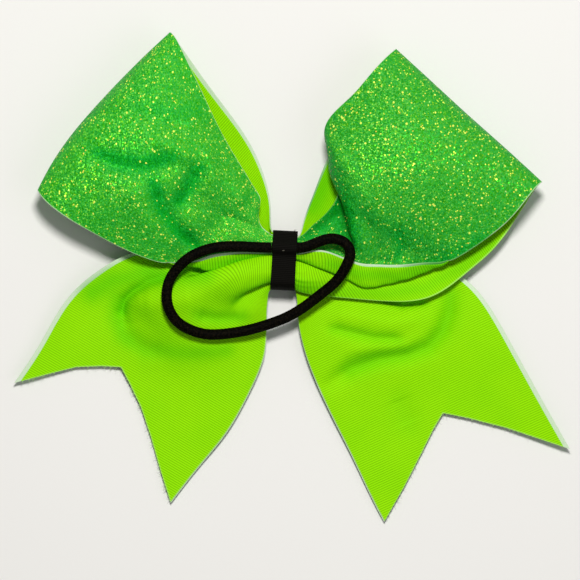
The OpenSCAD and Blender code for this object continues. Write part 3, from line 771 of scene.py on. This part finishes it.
LEFT_TAIL = [
    [[275, 252, 6.2], [275, 258, 6.8], [275, 261, 8.6], [275, 257, 10.8, 0.31], [275, 260, 12.3], [275, 268, 12.9], [275, 277, 12.2], [275, 281.5, 10.4, 0.7], [275, 280, 8.6, 0.75], [275, 283, 8.0], [275, 286, 7.2]],
    [[270, 251, 6.2], [270, 258, 6.8], [270, 260, 8.6], [270, 255.5, 11, 0.31], [270, 259, 12.9], [270, 268, 13.4], [270, 277, 12.6], [270, 282, 10.4, 0.7], [270, 280, 8.4, 0.75], [270, 284, 8.0], [270, 290, 7.2]],
    [[252, 251, 5.2], [253, 259, 5.6], [254, 263, 7], [253, 258.5, 10, 0.31], [253, 261, 12.4], [254, 270, 13.8], [254, 280, 13], [254, 287.5, 10.8, 0.7], [253.5, 285, 7.8, 0.75], [255, 290, 7.0], [260, 296, 7.2], [268, 297, 6.4]],
    [[236, 252, 4.8], [237, 261, 5], [240, 267, 5.8], [239, 264, 8.8], [238, 262.3, 11.2, 0.32], [239, 269, 13.8], [240, 280, 13.6], [240, 290, 12], [238, 296.5, 9.6, 0.7], [239.5, 299, 7.6, 0.74], [244, 303, 7.1], [253, 307, 7.2], [267, 309, 5.6]],
    [[205, 251, 4.8], [208, 266, 4.8], [213, 277, 6], [211, 274, 9.2], [211, 271.8, 11.8, 0.33], [213, 281, 13.6], [216, 293, 12.4], [222, 305, 9.6, 0.66], [232, 315, 7.6, 0.76], [250, 320, 6.4], [267, 324, 4.8]],
    [[171, 249, 5.6], [170, 262, 6], [171, 272, 8.4], [173, 284, 11, 0.31], [184, 299, 12], [204, 317, 10, 0.62], [230, 331, 6.8, 0.78], [266, 345, 4]],
    [[135, 252, 6.6], [134, 270, 6.2], [138, 288, 7], [146, 302, 9.2], [165, 318, 10], [190, 335, 8.6], [218, 350, 6], [261, 367, 3.6]],
    [[101, 269, 6.4], [112, 288, 5], [124, 306, 4.4], [140, 322, 6], [170, 346, 6.4], [200, 370, 4.6], [246, 400, 3]],
    [[68, 298, 5.6], [92, 322, 3.6], [124, 349, 3.2], [166, 382, 3], [226, 434, 2.6]],
    [[41, 342, 4.4], [72, 366, 2.4], [112, 397, 1.8], [154, 430, 1.8], [200, 466, 2]],
    [[14, 383, 3.6], [50, 411, 2], [92, 443, 1.4], [132, 473, 1.4], [171, 503, 2]],
]
RIGHT_TAIL = [
    [[293, 245, 2.4], [293, 256, 3], [293, 268, 4], [293, 278, 4.6], [293, 286, 4.2]],
    [[301, 244, 2.2], [300, 256, 2.8], [299, 268, 4], [298, 281, 4.6], [296, 292, 4.2]],
    [[345, 238, 1.8], [334, 262, 2], [320, 287, 3.4], [310, 303, 4.6], [298, 318, 4.4]],
    [[395, 243, 1.8], [372, 272, 2], [346, 301, 4.2], [326, 326, 5.4], [304, 349, 4.4]],
    [[438, 262, 2.4], [412, 292, 2.8], [380, 322, 5.2], [348, 352, 5], [315, 380, 3.8]],
    [[474, 287, 3.8], [444, 315, 4.4], [408, 347, 5], [370, 382, 3.6], [331, 415, 3]],
    [[503, 329, 4.8], [464, 356, 4], [425, 385, 3], [388, 418, 2.2], [350, 453, 2.4]],
    [[535, 387, 4.6], [492, 406, 2.8], [450, 430, 2], [410, 459, 1.8], [369, 493, 2]],
    [[570, 449, 4.4], [524, 467, 2.2], [478, 486, 1.4], [431, 504, 1.3], [384, 522, 1.8]],
]
LEFT_CUT = [(14, 383), (48, 374), (76, 367), (101, 366), (121, 367), (130, 384), (141, 407), (151, 437), (161, 472), (171, 503)]
RIGHT_CUT = [(570, 449), (543, 440), (507, 428), (468, 418), (443, 413), (434, 428), (420, 456), (404, 487), (384, 522)]

LOOP_ACROSS = 118
TAIL_ACROSS = 118
# how much narrower the grosgrain is than the glitter's carrier at the first and last selvage, at a piece's start and end
INSETS = {
    "left_front": ((1.6, 1.6), (0.5, 0.6)), "left_back": ((0.9, 0.5), (0.6, 1.8)),
    "right_front": ((1.1, 0.9), (0.05, 0.1)), "right_back": ((0.8, 0.4), (0.3, 1.6)),
    "left_tail": ((1.6, 1.7), (0.3, 0.3)), "right_tail": ((1.7, 1.7), (0.35, 0.35))}
FINE = 221  # columns of the base grids


end_rows = {}


def sheet_pieces(name, g, h, s, i_lo, i_hi, count, n, face, glitter, ends=None, mid_v=None, run=None):
    """The two layers of the ribbon from row i_lo of the base grid to row i_hi, and on to ends, the last row of each column."""
    out = []
    ds = s[1] - s[0]
    for layer in ("grosgrain", "glitter"):
        t = 0.36 if layer == "grosgrain" else 0.42
        pad = t / 2
        v = np.linspace(pad, WIDTH - pad, n)
        if mid_v is not None:  # a column runs exactly into the notch
            v[int(np.argmin(np.abs(v - mid_v)))] = mid_v
        f = np.linspace(0, 1, count)[:, None]
        vv = np.repeat(v[None, :], count, 0)
        if layer == "grosgrain":
            (a0, a1), (b0, b1) = INSETS[name]
            low, high = a0 + (a1 - a0) * f, b0 + (b1 - b0) * f
            x = (vv - pad) / (WIDTH - 2 * pad)
            vv = vv + low * (1 - x) ** 8 - high * x**8
        elif name == "right_front":
            vv = vv - 0.75 * (1 - f) ** 0.3 * ((vv - pad) / (WIDTH - 2 * pad)) ** 8
        j = vv / WIDTH * (g.shape[1] - 1)
        if ends is None:
            i = i_lo + (i_hi - i_lo) * f + 0 * vv
            cut = np.full(i.shape, 50.0)
        else:
            last = np.interp(j, np.arange(g.shape[1]), ends)
            share = (i_hi - i_lo) / (last.mean() - i_lo)
            i = np.where(f < share, i_lo + (i_hi - i_lo) * f / share, i_hi + (last - i_hi) * (f - share) / (1 - share))
            cut = (last - i) * ds
        pts = read(g, i, j)
        # painted shade of each point of the piece
        painted_shade = read(h[..., None], i, j)[..., 0]
        u = i * ds
        if layer == "grosgrain":
            if run is not None:  # past the knot the ribs lie square to the tail's run
                q = pts[..., 0] * math.cos(math.radians(run)) - pts[..., 1] * math.sin(math.radians(run))
                near = (u > 12) & (u < 22)
                w = np.clip((u - 7) / 20, 0, 1)
                w = w * w * (3 - 2 * w)
                u = u * (1 - w) + (q + (u - q)[near].mean()) * w
            lo, hi = (0.0, t) if face > 0 else (-t, 0.0)
            ob = slab(f"{name}_grosgrain", pts, lo, hi, u, vv, cut, painted_shade, [GROSGRAIN])
        else:
            lo, hi = (-t - 0.02, -0.02) if face > 0 else (0.02, t + 0.02)
            # the glitter is on the far side from the grosgrain
            top, low = (1, 0) if face > 0 else (0, 1)
            ob = slab(f"{name}_glitter", pts, lo, hi, u, vv, cut, painted_shade, [glitter, CARRIER], top, 1, low)
        out.append(ob)
        if layer == "grosgrain" and ends is not None:
            end_rows[name] = (pts[-1] + (lo + hi) / 2 * faces_of(pts)[-1], pts[-1] - pts[-4])
    return out


def cut_ends(g, cut):
    """Row of the base grid where each column meets the cut line."""
    m = len(g)
    xy = np.stack([g[..., 0] / U + 292, 277.5 - g[..., 1] / U], -1)
    d, _ = line_distance(xy, cut)
    d[: int(m * 0.55)] = 1e9
    k = np.clip(np.argmin(d, axis=0), 1, m - 2)
    out = k.astype(float)
    for j in range(g.shape[1]):
        a, b, c = d[k[j] - 1, j], d[k[j], j], d[k[j] + 1, j]
        # the distance falls to nothing and rises again: the crossing lies between the two lowest
        if a < c:
            out[j] = k[j] - b / max(a + b, 1e-9)
        else:
            out[j] = k[j] + b / max(b + c, 1e-9)
    out[0] = out[-1] = m - 1
    return np.clip(out, 0, m - 1)


def declare(nodes):
    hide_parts(*[n + "_ribbon" for n in nodes])
    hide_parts(*[n + "_glitter" for n in nodes])


def loop(side, rows, fold_row, face, glitter, features, shade_lines, seeds):
    g, s, rows_at = base_grid(rows, 420, FINE)
    g = press(g, features)
    g = gather(g, s, True, 0.16, 5, 7.0, seeds[0])
    g = gather(g, s, False, 0.07, 4, 6.0, seeds[1])
    h = paint_shade(g, shade_lines)
    ds = s[1] - s[0]
    fold = rows_at[fold_row] / ds
    for half, lo, hi in (("front", 0, fold), ("back", fold, len(g) - 1)):
        pair = sheet_pieces(f"{side}_{half}", g, h, s, lo, hi, 150, LOOP_ACROSS, face, glitter)
        for ob in pair:
            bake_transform(ob)
        declare((f"{side}_loop_{half}",))
    return g


def tail(side, rows, seam, face, glitter, cut, features, shade_lines, seed, hinge, outward, run, loose):
    g, s, rows_at = base_grid(rows, 300, FINE)
    g = press(g, features)
    g = gather(g, s, True, 0.07, 4, 6.0, seed)
    h = paint_shade(g, shade_lines)
    ds = s[1] - s[0]
    k = int(seam)
    i_seam = (rows_at[k] + (rows_at[k + 1] - rows_at[k]) * (seam - k)) / ds
    ends = cut_ends(g, cut)
    apex = int(np.argmin(ends))
    mid_v = apex / (g.shape[1] - 1) * WIDTH
    pair = sheet_pieces(f"{side}_tail", g, h, s, 0, i_seam, 230, TAIL_ACROSS, face, glitter, ends, mid_v, run)
    h, o = np.array(hinge) * MM, np.array(outward)
    edge, out = end_rows[f"{side}_tail"]
    rng = np.random.default_rng(seed + 20)
    starts, ways, sizes = [], [], []
    for _ in range(loose):  # loose threads of the cut end
        k = rng.random() * (len(edge) - 2)
        i, f = int(k), k - int(k)
        p = edge[i] * (1 - f) + edge[i + 1] * f
        d = out[i] / np.linalg.norm(out[i])
        across = edge[i + 1] - edge[i]
        across = across / np.linalg.norm(across)
        lean = d + across * rng.normal() * 0.55 + np.array([0, 0, abs(rng.normal()) * 0.2])
        starts.append(p - d * 0.35)
        ways.append(lean / np.linalg.norm(lean))
        sizes.append(0.6 + 0.35 + rng.random() ** 2 * 0.9)
    threads = fibres(f"{side}_tail_threads", starts, ways, sizes, 0.055, FRAY, seed + 30)
    for ob in [threads] + list(pair):
        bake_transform(ob)
    declare((f"{side}_tail_root", f"{side}_tail_end"))
    return g


# each loop and tail: fold features that shape the cloth, then lines of painted shade, painted a deeper green
left_loop = loop("left", LEFT_LOOP, 8, 1, GLITTER_LEFT,
                 [([(94, 156), (118, 167), (146, 171), (174, 163)], -1.8, 10, 0.55, 1.0),
                  ([(196, 170), (188, 190), (178, 208)], -2.0, 8, 0.55, 1.0),
                  ([(155, 189), (165, 213), (180, 232), (199, 249)], -2.4, 7.5, 0.55, 1.0),
                  ([(150, 140), (172, 146), (190, 160)], 0.9, 8, 0.55, 1.0),
                  ([(140, 110), (165, 124), (188, 130)], -0.9, 9, 0.55, 1.0),
                  ([(222, 214), (244, 222), (264, 232)], -0.8, 4, 0.8, 1.0),
                  ([(206, 150), (214, 176), (210, 200)], 0.9, 7, 0.6, 1.0),
                  ([(128, 190), (140, 214), (156, 234)], 0.8, 8, 0.55, 1.0)],
                 [([(98, 154), (122, 160), (148, 162), (174, 157)], 0.7, 8, 0.55, 1.0),
                  ([(116, 164), (138, 169), (158, 163)], 0.6, 10, 0.55, 1.0),
                  ([(199, 169), (190, 187), (179, 202)], 0.85, 8, 0.55, 1.0),
                  ([(154, 184), (161, 209), (177, 231), (197, 247)], 0.9, 7.5, 0.55, 1.0),
                  ([(146, 108), (170, 115), (198, 113)], 0.4, 9, 0.55, 1.0),
                  ([(180, 62), (150, 96), (112, 138)], 0.16, 40, 0.55, 1.0),
                  ([(196, 268), (214, 263), (240, 258), (272, 257)], 0.45, 5, 0.85, 1.0)], (3, 4))
right_loop = loop("right", RIGHT_LOOP, 8, -1, GLITTER_RIGHT,
                  [([(398, 228), (402, 250), (398, 262)], -1.2, 5, 0.6, 1.0),
                   ([(372, 262), (381, 260), (391, 262)], -0.8, 4, 0.6, 0.9),
                   ([(358, 206), (374, 234), (386, 256)], -0.5, 8, 0.6, 1.0)],
                  [([(398, 232), (400, 248), (396, 258)], 0.6, 6, 0.6, 1.0),
                   ([(306, 232), (322, 222), (340, 208), (348, 236)], 1.0, 13, 0.78, 1.0),
                   ([(340, 160), (325, 182), (312, 206)], 0.75, 14, 0.0, 0.45),
                   ([(300, 285), (345, 291), (385, 294), (425, 288), (460, 268), (490, 244)], 0.42, 8, 0.0, 0.5),
                   ([(330, 264), (360, 274), (400, 276), (440, 262), (485, 238)], 0.6, 7, 0.55, 1.0)], (5, 6))
left_tail = tail("left", LEFT_TAIL, 5.3, 1, GLITTER_LEFT, LEFT_CUT,
                 [([(172, 275), (150, 282), (134, 291), (125, 300), (122, 311), (124, 320)], -2.2, 6, 0, 1),
                  ([(143, 286), (129, 295), (124, 304), (123, 314)], -0.7, 2.8, 0, 1),
                  ([(124, 318), (127, 332), (140, 345), (162, 353)], -0.9, 9, 0, 1),
                  ([(144, 302), (168, 302), (192, 298)], 0.9, 11, 0, 1),
                  ([(198, 316), (218, 319), (240, 318)], -1.3, 7, 0, 1),
                  ([(190, 345), (214, 348), (236, 340)], 0.5, 9, 0, 1)],
                 [([(172, 277), (150, 284), (134, 292), (125, 301), (122, 312)], 0.6, 5, 0, 1),
                  ([(122, 308), (124, 322), (130, 336)], 0.35, 9, 0, 1),
                  ([(205, 274), (175, 276), (142, 276), (112, 280), (92, 292)], 0.68, 12, 0, 1),
                  ([(117, 298), (115, 316), (122, 336), (146, 350), (188, 353), (226, 350)], 0.5, 9, 0, 1),
                  ([(132, 258), (150, 270), (168, 281)], 0.45, 8, 0, 1),
                  ([(198, 316), (218, 319), (242, 317)], 0.5, 8, 0, 1)],
                 8, (-45.15, -21.7, 4.9), (-0.671, -0.742, 0), 120.5, 130)
right_tail = tail("right", RIGHT_TAIL, 3.4, -1, GLITTER_RIGHT, RIGHT_CUT,
                  [([(452, 294), (449, 312), (443, 330), (430, 346), (408, 355), (380, 359), (352, 368), (330, 384)], -2.1, 8.5, 0, 1),
                   ([(382, 299), (402, 305.5), (426, 303)], -1.6, 3.4, 0, 1),
                   ([(330, 328), (352, 333), (374, 338), (402, 339)], -1.3, 5.5, 0, 1),
                   ([(332, 312), (360, 317), (392, 322), (422, 318)], 1.1, 9, 0, 1),
                   ([(350, 350), (385, 348), (412, 343)], 0.5, 6, 0, 1),
                   ([(398, 398), (408, 424)], -0.6, 13, 0, 1)],
                  [([(382, 299), (402, 305), (424, 302)], 0.7, 4.5, 0, 1),
                   ([(333, 329), (352, 334), (374, 338), (398, 339)], 0.35, 6, 0, 1),
                   ([(450, 296), (448, 314), (441, 332), (427, 347), (404, 355), (378, 359), (350, 369)], 0.5, 10, 0, 1),
                   ([(398, 398), (408, 424)], 0.12, 13, 0, 1)],
                  9, (46.67, -35.6, 3.8), (0.648, -0.762, 0), 65.5, 80)

# ---------------------------------------------------------------- the centre band
PROFILE = [
    (230.6, 7), (230.8, 10.4), (232.2, 12.8), (236, 14.1), (240, 15.2), (243.5, 16.9), (247.5, 17.6), (251.5, 17.0),
    (255, 15.4), (260, 14.9), (270, 14.95), (279, 14.95), (284, 14.5), (287.6, 12.8), (289.6, 10), (290.2, 7),
    (290.2, 4.2), (289.2, 1.7), (286, 0.35), (278, 0.12), (262, 0.1), (246, 0.12), (236.5, 0.3), (232.2, 1.4), (230.8, 3.8)]


def closed_curve(p, n):
    p = np.asarray(p, float)
    q = np.concatenate([p[-4:], p, p[:5]])
    t = np.concatenate([[0], np.cumsum(np.linalg.norm(np.diff(q, axis=0), axis=1) ** 0.5)])
    c = spline(t, q, np.linspace(t[4], t[4 + len(p)], 2400))
    s = np.concatenate([[0], np.cumsum(np.linalg.norm(np.diff(c, axis=0), axis=1))])
    k = np.linspace(0, s[-1], n, endpoint=False)
    return np.stack([np.interp(k, s, c[:, i]) for i in range(c.shape[1])], 1), s[-1]


def band_ring():
    yz = [((260.5 - b) * U, z) for b, z in PROFILE]
    n = 420
    c, length = closed_curve(yz, n)
    t = np.roll(c, -1, 0) - np.roll(c, 1, 0)
    t /= np.linalg.norm(t, axis=1, keepdims=True)
    out = np.stack([t[:, 1], -t[:, 0]], 1)
    if np.sum(out * (c - c.mean(0))) < 0:
        out = -out
    s = np.arange(n) * length / n
    thick = 0.55
    half = 4.75
    m = 46
    ring = []
    uv = []
    waist = 1 - 0.035 * np.clip(np.sin((c[:, 0].max() - c[:, 0]) / (c[:, 0].max() - c[:, 0].min()) * math.pi), 0, 1)
    cords = 0.035 * np.abs(np.sin(math.pi * s / 0.72)) ** 0.7
    xs = np.linspace(-half + 0.25, half - 0.25, m)

    def put(x, depth, v):
        w = x * waist
        y = c[:, 0] + out[:, 0] * depth
        z = c[:, 1] + out[:, 1] * depth
        ring.append(np.stack([w, y, z], 1))
        uv.append(np.stack([s, np.full(n, v)], 1))

    wave = 0.05 * np.sin(s * 0.9) + 0.04 * np.sin(s * 0.37 + 1)
    for x in xs:
        put(x + wave * 0, cords - 0.04, x + half)
    for a in np.radians([55, 18, -18, -55]):
        put(half - 0.25 + 0.25 * math.cos(a), np.full(n, -thick / 2 + thick / 2 * math.sin(a)), 2 * half)
    for x in xs[::-1]:
        put(x, np.full(n, -thick), x + half)
    for a in np.radians([-55, -18, 18, 55]):
        put(-half + 0.25 - 0.25 * math.cos(a), np.full(n, -thick / 2 + thick / 2 * math.sin(a)), 0)
    ring = np.stack(ring, 1)
    uv = np.stack(uv, 1).reshape(-1, 2) / 100
    turn = math.radians(-3)
    x = ring[..., 0] * math.cos(turn) - ring[..., 1] * math.sin(turn)
    y = ring[..., 0] * math.sin(turn) + ring[..., 1] * math.cos(turn)
    centre = at([284, 260.5, 0])
    pts = np.stack([x + centre[0], y + centre[1], ring[..., 2]], -1)
    loop_n = ring.shape[1]
    faces = ring_faces(n, loop_n, True)
    a, b, d = (pts.reshape(-1, 3)[faces[m // 2][k]] for k in range(3))
    want = np.array([0, out[0, 0], out[0, 1]])
    if np.dot(np.cross(b - a, d - a), want) < 0:
        faces = faces[:, ::-1]
    ob = make_mesh("band_strap", pts.reshape(-1, 3), [list(f) for f in faces], [BAND], None, uv)
    return ob


band = band_ring()
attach(band, "knot")
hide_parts("centre_band", "band_lap")


def pleat_fill():
    """The gathered ribbon packed inside the band: its two ends show the pleats' layers, just inside the band's edges."""
    n, rings = 240, 16
    c, _ = closed_curve([((260.5 - b) * U, z) for b, z in PROFILE], n)
    t = np.roll(c, -1, 0) - np.roll(c, 1, 0)
    t /= np.linalg.norm(t, axis=1, keepdims=True)
    out = np.stack([t[:, 1], -t[:, 0]], 1)
    if np.sum(out * (c - c.mean(0))) < 0:
        out = -out
    c = c - out * 0.66
    mid = c.mean(0)
    pts = []
    for side in (1, -1):
        for k in range(rings) if side > 0 else range(rings - 1, -1, -1):
            q = mid + (c - mid) * (k + 1) / rings
            x = side * (4.05 + 0.22 * np.sin(q[:, 1] * 2 * math.pi / 1.25 + 0.5 * np.sin(q[:, 0] * 0.5)))
            pts.append(np.stack([x, q[:, 0], q[:, 1]], 1))
    pts = np.array(pts)
    turn = math.radians(-3)
    x = pts[..., 0] * math.cos(turn) - pts[..., 1] * math.sin(turn)
    y = pts[..., 0] * math.sin(turn) + pts[..., 1] * math.cos(turn)
    centre = at([284, 260.5, 0])
    verts = np.stack([x + centre[0], y + centre[1], pts[..., 2]], -1).reshape(-1, 3)
    m = len(pts)
    faces = [[i * n + j, i * n + (j + 1) % n, (i + 1) * n + (j + 1) % n, (i + 1) * n + j] for i in range(m - 1) for j in range(n)]
    faces += [list(range(n - 1, -1, -1)), [(m - 1) * n + j for j in range(n)]]
    vol = 0.0
    for f in faces:
        for k in range(1, len(f) - 1):
            vol += np.dot(verts[f[0]], np.cross(verts[f[k]], verts[f[k + 1]]))
    if vol < 0:
        faces = [f[::-1] for f in faces]
    return make_mesh("pleat_fill", verts, faces, [PASS_GREEN])


fill_piece = pleat_fill()
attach(fill_piece, "knot")

starts, ways, sizes = [], [], []
rng = np.random.default_rng(12)
for b, z in ((231.4, 12.2), (231.0, 11.2), (232.4, 13.0), (233.6, 13.3)):
    for side in (-1, 1):
        for _ in range(3):
            p = at([284 + side * 12.2 + (b - 260.5) * 0.052, b + rng.normal() * 0.6, z])
            d = np.array([side * (0.7 + 0.4 * rng.random()), 0.5 + rng.normal() * 0.5, 0.2 + rng.normal() * 0.4])
            starts.append(p - np.array([side * 0.3, 0, 0]))
            ways.append(d / np.linalg.norm(d))
            sizes.append(0.6 + 0.7 * rng.random())
band_threads = fibres("band_threads", starts, ways, sizes, 0.05, FUZZ, 13)
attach(band_threads, "knot")


def drop(name, centre, size, mat):
    """A small smooth drop: a flattened ball."""
    m, n = 12, 24
    verts = [(0, 0, 1)]
    for i in range(1, m):
        w = math.pi * i / m
        for j in range(n):
            q = 2 * math.pi * j / n
            r = math.sin(w) * (1 + 0.12 * math.sin(2 * q + 0.6) + 0.07 * math.sin(3 * q))
            verts.append((r * math.cos(q), r * math.sin(q), math.cos(w)))
    verts.append((0, 0, -1))
    faces = [[0, 1 + j, 1 + (j + 1) % n] for j in range(n)]
    for i in range(m - 2):
        for j in range(n):
            a, b = 1 + i * n + j, 1 + i * n + (j + 1) % n
            faces.append([a, a + n, b + n, b])
    last = len(verts) - 1
    faces += [[last, last - n + (j + 1) % n, last - n + j] for j in range(n)]
    pts = np.array(verts) * np.array(size) + np.array(centre)
    return make_mesh(name, pts, faces, [mat], None, np.zeros((len(pts), 2)))


glue_drop = drop("glue_drop", at([283.5, 250.6, 17.05]), (0.55, 0.24, 0.36), DULL_GLUE)
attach(glue_drop, "knot")

# ---------------------------------------------------------------- CAD nodes that stay
LOOKS = {
    "cinch_tie": PLASTIC, "tie_head": PLASTIC, "glue_bed": GLUE, "front_glue": GLUE,
    "gather_pass_front": PASS_GREEN, "gather_pass_middle": PASS_GREEN, "gather_pass_back": PASS_GLITTER,
    "elastic_held_run": ELASTIC}
for name, look in LOOKS.items():
    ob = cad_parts[name]
    ob.data.materials.clear()
    ob.data.materials.append(look)

# ---------------------------------------------------------------- stage
floor_look = Look("pale_floor", (0.80, 0.79, 0.77), 0.75)
floor_look.color(floor_look.mix(floor_look.noise(floor_look.place(), 3, 2), (0.79, 0.78, 0.76), (0.82, 0.81, 0.79)))
me = bpy.data.meshes.new("floor")
me.from_pydata([(-3, -3, -0.0003), (3, -3, -0.0003), (3, 3, -0.0003), (-3, 3, -0.0003)], [], [(0, 1, 2, 3)])
me.materials.append(floor_look.m)
floor = bpy.data.objects.new("floor", me)
bpy.context.scene.collection.objects.link(floor)


def area_light(name, where, size, power, color=(1, 1, 1)):
    d = bpy.data.lights.new(name, "AREA")
    d.shape = "DISK"
    d.size = size
    d.energy = power
    d.color = color
    o = bpy.data.objects.new(name, d)
    o.location = where
    v = -np.array(where, float)
    from mathutils import Vector

    o.rotation_euler = Vector(v.tolist()).to_track_quat("-Z", "Y").to_euler()
    bpy.context.scene.collection.objects.link(o)
    return o


area_light("key", (0.03, 0.47, 1.24), 0.26, 16.0, (1.0, 0.99, 0.96))
area_light("fill", (0.8, -0.3, 1.0), 1.0, 1.6, (0.97, 0.98, 1.0))
world = bpy.data.worlds.new("soft")
world.use_nodes = True
world.node_tree.nodes["Background"].inputs[0].default_value = (1, 1, 1, 1)
world.node_tree.nodes["Background"].inputs[1].default_value = 0.2
bpy.context.scene.world = world
bpy.context.scene.view_settings.view_transform = "Standard"
